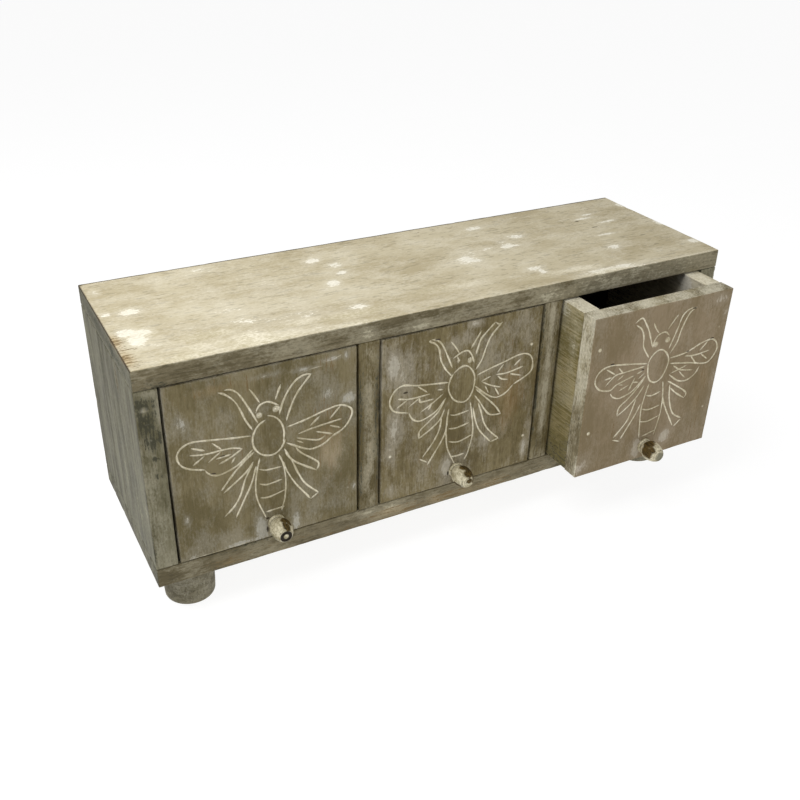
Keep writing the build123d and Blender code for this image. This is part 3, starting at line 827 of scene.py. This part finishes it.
def carved_board(name, low, high, rebate, relief):
    """A front: its carved face as a fine net of points, its plain ends and back, and the floor's rebate."""
    rows, columns = relief.shape
    across, up = np.meshgrid(np.linspace(low.x, high.x, columns), np.linspace(high.z, low.z, rows))
    from_edge = np.minimum.reduce([across - low.x, high.x - across, up - low.z, high.z - up])
    ease = np.full_like(from_edge, FRONT_EASE)
    start = own_place(name)
    for i in np.argwhere(from_edge < RUB_REACH):
        i = tuple(i)
        spot = Vector((across[i], up[i], 0)) * 70 + start
        ease[i] *= 0.75 + 0.5 * noise.fractal(spot, 0.8, 2.0, 3)
    close = np.clip(1 - from_edge / ease, 0, 1)
    drop = ease * (1 - np.sqrt(1 - close ** 2))
    face = np.stack([across, low.y + drop + relief, up], axis=-1)
    numbers = np.arange(across.size).reshape(across.shape)
    rim = np.concatenate([numbers[0, :-1], numbers[:-1, -1], numbers[-1, :0:-1], numbers[:0:-1, 0]])
    outline = face.reshape(-1, 3)[rim]
    in_rebate = (outline[:, 2] < low.z + HAIR) & (outline[:, 0] > rebate[0].x) & (outline[:, 0] < rebate[1].x)
    to_rebate, thick = rebate[0].y - low.y, high.y - low.y
    loops = []
    for depth, raised in ((FACE_DEPTH, False), (to_rebate, False), (to_rebate + HAIR, True),
                          (thick - BACK_EASE, True), (thick, True)):
        loop = outline.copy()
        loop[:, 1] = low.y + depth
        if raised:
            loop[in_rebate, 2] = rebate[1].z
        loops.append(loop)
    heart = np.array([(low.x + high.x) / 2, 0, (low.z + high.z) / 2])
    loops[-1][:, [0, 2]] += (np.sign(heart - loops[-1]) * BACK_EASE)[:, [0, 2]]
    points = np.concatenate([face.reshape(-1, 3)] + loops)
    corners = [numbers[:-1, :-1], numbers[1:, :-1], numbers[1:, 1:], numbers[:-1, 1:]]
    quads = np.stack(corners, axis=-1).reshape(-1, 4)
    rings = [rim] + [across.size + i * len(rim) + np.arange(len(rim)) for i in range(len(loops))]
    walls = [np.stack([a, np.roll(a, -1), np.roll(b, -1), b], axis=-1) for a, b in zip(rings, rings[1:])]
    faces = np.concatenate([quads] + walls).tolist() + [rings[-1].tolist()]
    mesh = bpy.data.meshes.new(name)
    mesh.from_pydata(points.tolist(), [], faces)
    mesh.polygons.foreach_set("use_smooth", [i < len(quads) for i in range(len(faces))])
    shape = bmesh.new()
    shape.from_mesh(mesh)
    bpy.data.meshes.remove(mesh)
    return show(shape, name)


front_finishes = {
    "left": limewashed_wood("olive_front_wood", (96, 86, 54), (122, 111, 80), (172, 168, 154),
                            haze=0.3, streak=0.35, flecks=0.25, rubbed=0.15, cloudy=0.6),
    "middle": limewashed_wood("streaked_front_wood", (93, 81, 48), (121, 109, 75), (180, 173, 156),
                              haze=0.45, streak=0.45, flecks=0.35, rubbed=0.2, cloudy=0.7),
    "right": limewashed_wood("rosy_front_wood", (119, 104, 75), (138, 122, 96), (178, 168, 150),
                             haze=0.25, streak=0.2, flecks=0.1, rubbed=0.15, cloudy=0.5),
}
# Where limewash and a bloom of cream were left on each face, where the brown shows, and where it is chipped:
# across from its left end, down from its upper edge, how far it spreads both ways, and how much.
front_patches = {
    "left": {
        "lime": [(8, 25, 6, 7, 0.9), (18, 24, 9, 10, 0.3), (30, 28, 8, 6, 0.3), (92, 25, 14, 12, 0.4),
                 (107, 32.5, 5, 4.5, 1.2), (6, 87, 2, 4, 0.8), (58, 6, 9, 1.5, 0.6), (80, 7, 9, 1.5, 0.55),
                 (97, 4.5, 9, 1.5, 0.7), (106, 4, 2, 3, 0.8), (22, 108, 12, 8, 0.5), (49.5, 107, 4, 9, 0.95),
                 (72, 109, 4, 8, 1.0), (85, 105, 25, 8, 0.35), (40, 114, 40, 2, 0.6),
                 (110.5, 96, 2, 4, 0.9)],
        "cream": [(107, 32.5, 4.5, 4, 0.28), (96, 66, 20, 32, 0.27), (50, 107, 5, 7, 0.24),
                  (72, 109, 5, 6, 0.24)],
        # The two stains along the upper edge darken it with brown dashes and with painted shade under the top
        # board.
        "stain": [(30, 8, 45, 8, 0.4), (98, 8, 14, 8, 0.35), (95, 60, 18, 38, 0.46), (60, 75, 30, 12, 0.2),
                  (30, 56, 20, 22, 0.3), (37, 82, 8, 10, 0.3)],
        "chip": [(23.5, 60.5, 1.9, 0.8, 1.0), (30, 50.5, 1.9, 0.8, 1.0), (54, 101.5, 1.3, 0.8, 1.0),
                 (53.4, 109.5, 0.7, 2.6, 1.0)],
    },
    "middle": {
        "lime": [(8, 18, 6, 10, 0.9), (15, 22, 9, 14, 0.6), (55, 11, 12, 6, 0.6), (100, 10, 14, 10, 0.45),
                 (8, 62, 6, 18, 0.7), (20, 52, 8, 10, 0.25), (47, 102, 4.5, 8, 1.0), (82, 26, 14, 12, 0.2),
                 (7, 108, 6, 6, 0.6), (107.5, 105, 2, 8, 0.8), (18, 108, 8, 6, 0.25), (63, 2, 6, 3, 0.7),
                 (74, 88, 8, 6, 0.45)],
        "cream": [(14, 18, 8, 14, 0.2), (47, 104, 5, 6, 0.24), (75, 10, 26, 8, 0.17),
                  (108, 62, 5, 26, 0.23)],
        "stain": [(35, 20, 10, 16, 0.3), (93, 62, 20, 44, 0.45), (30, 90, 20, 20, 0.25)],
        "chip": [(37, 7.5, 1.9, 0.8, 1.0), (16, 38.5, 1.9, 0.8, 1.0), (49, 107, 0.7, 2, 1.0)],
    },
    "right": {
        "lime": [(73, 103, 6, 5.5, 1.1), (50.5, 106, 4.5, 8, 1.15), (4, 108, 7, 7, 0.7),
                 (105, 5, 7, 5, 0.85), (6, 20, 5, 20, 0.35), (110, 17, 3, 6, 0.8), (110, 60, 2, 60, 0.4)],
        "cream": [(74, 103, 5, 5, 0.26), (50.5, 106, 5, 7, 0.27)],
        "stain": [(100, 70, 14, 40, 0.4), (25, 92, 16, 14, 0.3)],
        "chip": [(18, 34.5, 1.9, 0.8, 1.0), (44.5, 44.5, 1.5, 0.7, 1.0), (82, 39.5, 1.9, 0.7, 1.0),
                 (81, 8, 1.9, 0.7, 1.0), (102, 34, 1.9, 0.8, 1.0)],
    },
}
# Scuffs that took cream paint but were not cut in, as lines on the face, and how bright each nail filling is.
front_scuffs = {
    "left": [[(76, 9.5), (84, 8), (93, 7.5)], [(90, 5.5), (98, 5), (105, 2.5)], [(106.5, 2), (105.5, 6.5)],
             [(52, 7), (60, 5.5)], [(3, 115), (20, 115.2), (42, 114.6)]],
    "middle": [[(60, 2.5), (66, 1.5)], [(108.5, 101), (107.5, 106), (107, 112)], [(99, 114.5), (106, 114)]],
    "right": [[(53.5, 100.5), (59, 99.5), (64, 100)]],
}
nail_fillings = {"left": (0.3, 0.3, 0.3, 0.3), "middle": (0.55, 0.3, 0.6, 0.6),
                 "right": (0.9, 0.9, 0.4, 0.35)}

for side in DRAWERS:
    node = f"{side}_drawer_front"
    low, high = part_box(node)
    face, left, upper = low.y / MM, low.x / MM, high.z / MM
    columns = round((high.x - low.x) / MM / FRONT_CELL) + 1
    rows = round((high.z - low.z) / MM / FRONT_CELL) + 1
    cut = np.zeros((rows, columns))
    carve_bee(cut, bees[side], random.Random(node))
    nails = [hole[0] for hole in sunk_heads(f"{side}_drawer_front_nails", ALONG_Y, low.y, 0)]
    dents = np.zeros_like(cut)
    for nail in nails:
        press(dents, (nail.x - low.x) / MM, (high.z - nail.z) / MM, NAIL_HOLE, NAIL_SINK)
    relief = np.clip(cut, 0, 1) * GROOVE_DEPTH + dents * MM
    piece = carved_board("carved_" + node, low, high, grown(f"{side}_drawer_floor", FLOOR_GAP), relief)
    places = points_of(piece)
    mark_edges(piece, places, low, high)
    scuffs = np.zeros_like(cut)
    for points in front_scuffs[side]:
        gouge(scuffs, points, SCUFF, random.Random(node + "scuffs"))
    painted = np.zeros(len(places))
    painted[:cut.size] = np.maximum(cut, 0.4 * scuffs).ravel()
    mark(piece, "cream", painted)
    lay_grain(piece, ALONG_Z)
    for kind, patches in front_patches[side].items():
        deep = 2 if kind == "chip" else 3
        daub(piece, kind, [((left + u, face, upper - v), (wide, deep, tall), strength)
                           for u, v, wide, tall, strength in patches])
    daub(piece, "cream", [((nail.x / MM, face, nail.z / MM), (NAIL_FILLING, 2, NAIL_FILLING), filling)
                          for nail, filling in zip(nails, nail_fillings[side])])
    daub(piece, "lime", [((left, 0, upper - 28), (0.8, WHOLE, 38), 0.45),
                         ((0, 0, upper), (WHOLE, WHOLE, 0.8), 0.2)])
    piece.data.materials.append(front_finishes[side])
    other_finish(piece, edge_finish,
                 lambda normal: abs(normal.y) < 0.5 and max(normal.z, abs(normal.x)) > 0.85)
    # The front's back face takes the painted shade of the inside.
    other_finish(piece, painted_shade_inside_finish, lambda normal: normal.y > 0.6)
    stand_for(piece, node, f"{side}_drawer")

# The knobs are small turned beads with a collar, a narrow neck and a flat end, screwed on from inside.
# Their cream paint has worn through to dark brown wood on top and round the end.
KNOB_SIDES = 48
KNOB_BELLY, BELLY_HEIGHT = 6.6, 8
ROOT_CURVE, END_CURVE = 8.29, 12.83
NECK_HEIGHT, RIM_HEIGHT, RING_RADIUS = 1.9, 15.4, 2.7
# Where each knob's paint has worn through, and where it is grey with dirt: across from its axis, along it and
# above it, with how far the spot spreads, in millimetres.
knob_wear = {
    "left": [((2.6, 8.5, 5.6), (3.8, 3.8, 4)), ((1.4, 13, 4.2), (3, 4.4, 3.4)),
             ((3.8, 10, 4.2), (2.8, 3, 3))],
    "middle": [((1.6, 8, 6.2), (4.2, 4.6, 4)), ((4.8, 11, 3.4), (4.4, 5.5, 5)),
               ((0.6, 13.5, 4.2), (4.2, 3.4, 3.4)), ((4, 15.4, 0.5), (2, 1.2, 4)),
               ((-5, 11, -4), (3.2, 4.5, 2.8)), ((1.2, 16, 0.6), (2.4, 1.2, 2.4))],
    "right": [((-2.6, 8, 5.6), (4.6, 5, 4.6)), ((-5.4, 9.5, 1.5), (4.2, 5, 5.4)),
              ((0.8, 6, 6.4), (4.2, 3.2, 3.6)), ((-3.4, 11.5, 3.4), (2.6, 3.6, 3))],
}
knob_dirt = {"left": [((-5, 9, -3), (3, 6, 4))], "middle": [((-4, 12, -4), (3, 5, 3))],
             "right": [((1.0, 16, -1.0), (4.6, 2.2, 5.0))]}


def knob_outline():
    """A collar with a fine groove, a belly that swells and tapers, and an end with a ring scored in it."""
    rows = [(0, 0), (3, 0), (5.1, 0), (5.3, 0.25), (5.3, 1.25), (5.1, 1.5), (4.6, 1.7)]
    rows += [(4.45, 2.1), (4.6, 2.6)]
    for curve, heights in ((ROOT_CURVE, (3.2, 4, 5, 6, 7, 8)),
                           (END_CURVE, (9, 10, 11, 12, 13, 14, 15, 15.5))):
        rows += [(KNOB_BELLY - curve + math.sqrt(curve ** 2 - (h - BELLY_HEIGHT) ** 2), h) for h in heights]
    rows += [(3.85, 15.85), (3.5, 16), (3.15, 15.95), (2.9, 15.65), (2.5, 15.65), (2.25, 15.85)]
    return rows + [(1, 15.95), (0, 15.95)]


knob_finish, tree, shader = new_finish("worn_cream_paint")
place = grain_of(tree)
blotches = cloud(tree, place, 7, 6, 6, 0.6)
fibres = cloud(tree, place, 12, 0.9, 3)
speckles = cloud(tree, place, 1.6, 1.2, 3, 0.7)
bright = ramp(tree, sums(tree, blotches, (speckles, 1.0)), 0.75, 1.25)
paint = coat(tree, bright, colour(150, 140, 108), colour(222, 214, 186))
bare = coat(tree, ramp(tree, fibres, 0.35, 0.65), colour(52, 42, 18), colour(92, 74, 36))
worn = ramp(tree, sums(tree, marks(tree, "rub"), (blotches, 1.4), (fibres, 0.3)), 1.25, 1.5)
dirt = ramp(tree, sums(tree, marks(tree, "grime"), (blotches, 0.8)), 0.6, 1.1, 0.0, 0.85)
paint = coat(tree, dirt, paint, colour(104, 102, 82))
paint = coat(tree, worn, paint, bare)
paint = coat(tree, ramp(tree, marks(tree, "chip"), 0.25, 0.6), paint, colour(34, 25, 10))
cover(tree, shader, paint, ramp(tree, worn, 0, 1, 0.5, 0.7), 0.2, sums(tree, fibres, (worn, -0.8)), 0.4)

for side in DRAWERS:
    node = f"{side}_drawer_knob"
    low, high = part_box(node)
    middle = (low + high) / 2
    root = Vector((middle.x, high.y, middle.z))
    stand = Matrix.Translation(root) @ Matrix.Rotation(math.radians(90), 4, "X")
    piece = turned("turned_" + node, knob_outline(), stand, KNOB_SIDES)
    lay_grain(piece, ALONG_Y)
    places = (points_of(piece) - np.array(root)) / MM
    out, radius = -places[:, 1], np.hypot(places[:, 0], places[:, 2])
    worn_rim = 0.35 * np.exp(-((out - RIM_HEIGHT) / 0.7) ** 2)
    mark(piece, "rub", worn_rim + 0.12 * np.clip(places[:, 2] / KNOB_BELLY, 0, 1))
    axis = np.array(root) / MM
    for kind, strength, spots in (("rub", 1.0, knob_wear[side]), ("grime", 0.8, knob_dirt[side])):
        daub(piece, kind, [(axis + (x, -y, z), reach, strength) for (x, y, z), reach in spots])
    ring = np.exp(-((radius - RING_RADIUS) / 1.15) ** 2) * (out > 15.0) * (side == "left")
    neck = 0.55 * np.exp(-((out - NECK_HEIGHT) / 0.4) ** 2)
    mark(piece, "chip", np.maximum(ring, neck))
    piece.data.materials.append(knob_finish)
    stand_for(piece, node, f"{side}_drawer")

# The nails, pins and screws are plain steel, sunk below the wood and gone dull.
# Those through the top, the fronts and the drawers' sides are filled and painted over.
steel, tree, shader = new_finish("dull_steel")
place = put(tree, "TexCoord", {}).outputs["Object"]
tarnish = cloud(tree, place, 1.2, 1.2, 4)
tree.links.new(coat(tree, ramp(tree, tarnish, 0.4, 0.65), colour(150, 146, 138), colour(96, 78, 62)),
               shader.inputs["Base Color"])
tree.links.new(ramp(tree, tarnish, 0.35, 0.7, 0.35, 0.7), shader.inputs["Roughness"])
shader.inputs["Metallic"].default_value = 0.9
for name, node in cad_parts.items():
    if name.endswith(("nails", "pins", "screw", "screws")):
        node.data.materials.clear()
        node.data.materials.append(steel)

# The chest stands on a plain white paper sweep, lit through two large soft boxes, above and in front of it.
# The sweep glows a little, as a light table does, so only a faint shadow lies round the feet.
floor_shape = bmesh.new()
bmesh.ops.create_grid(floor_shape, x_segments=8, y_segments=8, size=6.0)
floor = show(floor_shape, "white_sweep")
sweep, tree, shader = new_finish("white_sweep_paper")
paper = cloud(tree, put(tree, "TexCoord", {}).outputs["Object"], 40, 40)
tree.links.new(coat(tree, paper, colour(120, 120, 120), colour(124, 124, 124)), shader.inputs["Base Color"])
shader.inputs["Roughness"].default_value = 0.9
shader.inputs["Emission Color"].default_value = (1.0, 1.0, 1.0, 1.0)
shader.inputs["Emission Strength"].default_value = 0.88
floor.data.materials.append(sweep)
floor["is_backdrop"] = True


def soft_box(name, place, aim, size, power):
    """A square soft box that faces a point."""
    lamp = bpy.data.lights.new(name, "AREA")
    lamp.size, lamp.energy = size, power
    holder = bpy.data.objects.new(name, lamp)
    holder.location = place
    holder.rotation_euler = (Vector(aim) - Vector(place)).to_track_quat("-Z", "Y").to_euler()
    bpy.context.scene.collection.objects.link(holder)


soft_box("overhead_box", (-0.45, -0.02, 0.85), (-0.1, 0.0, 0.1), 0.7, 7.2)
soft_box("front_box", (0.5, -1.6, 0.9), (0.0, 0.0, 0.1), 1.2, 7.0)
room = bpy.data.worlds.new("white_room")
room.use_nodes = True
backdrop = room.node_tree.nodes["Background"]
backdrop.inputs["Color"].default_value = (1.0, 1.0, 1.0, 1.0)
seen = put(room.node_tree, "LightPath", {}).outputs["Is Camera Ray"]
room.node_tree.links.new(ramp(room.node_tree, seen, 0.0, 1.0, 0.3, 0.96), backdrop.inputs["Strength"])
bpy.context.scene.world = room
bpy.context.scene.view_settings.view_transform = "Standard"

# The camera looks down on the chest from its front left corner, and leans a little to one side.
# Its lens is a plain one of about 43 mm, with no shift.
EYE = (-0.28200, -0.49597, 0.40184)
YAW, PITCH, ROLL = math.radians(28.694), math.radians(30.143), math.radians(-1.391)
ahead = Vector((math.sin(YAW) * math.cos(PITCH), math.cos(YAW) * math.cos(PITCH), -math.sin(PITCH)))
level = Vector((math.cos(YAW), -math.sin(YAW), 0))
below = ahead.cross(level)
right = math.cos(ROLL) * level + math.sin(ROLL) * below
down = math.cos(ROLL) * below - math.sin(ROLL) * level
camera = bpy.data.objects.new("camera", bpy.data.cameras.new("camera"))
camera.data.lens, camera.data.sensor_width = 42.89, 36.0
camera.matrix_world = Matrix.Translation(EYE) @ Matrix((right, -down, -ahead)).transposed().to_4x4()
bpy.context.scene.collection.objects.link(camera)
bpy.context.scene.camera = camera

# The box round every shown piece, apart from the white sweep.
low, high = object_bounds()
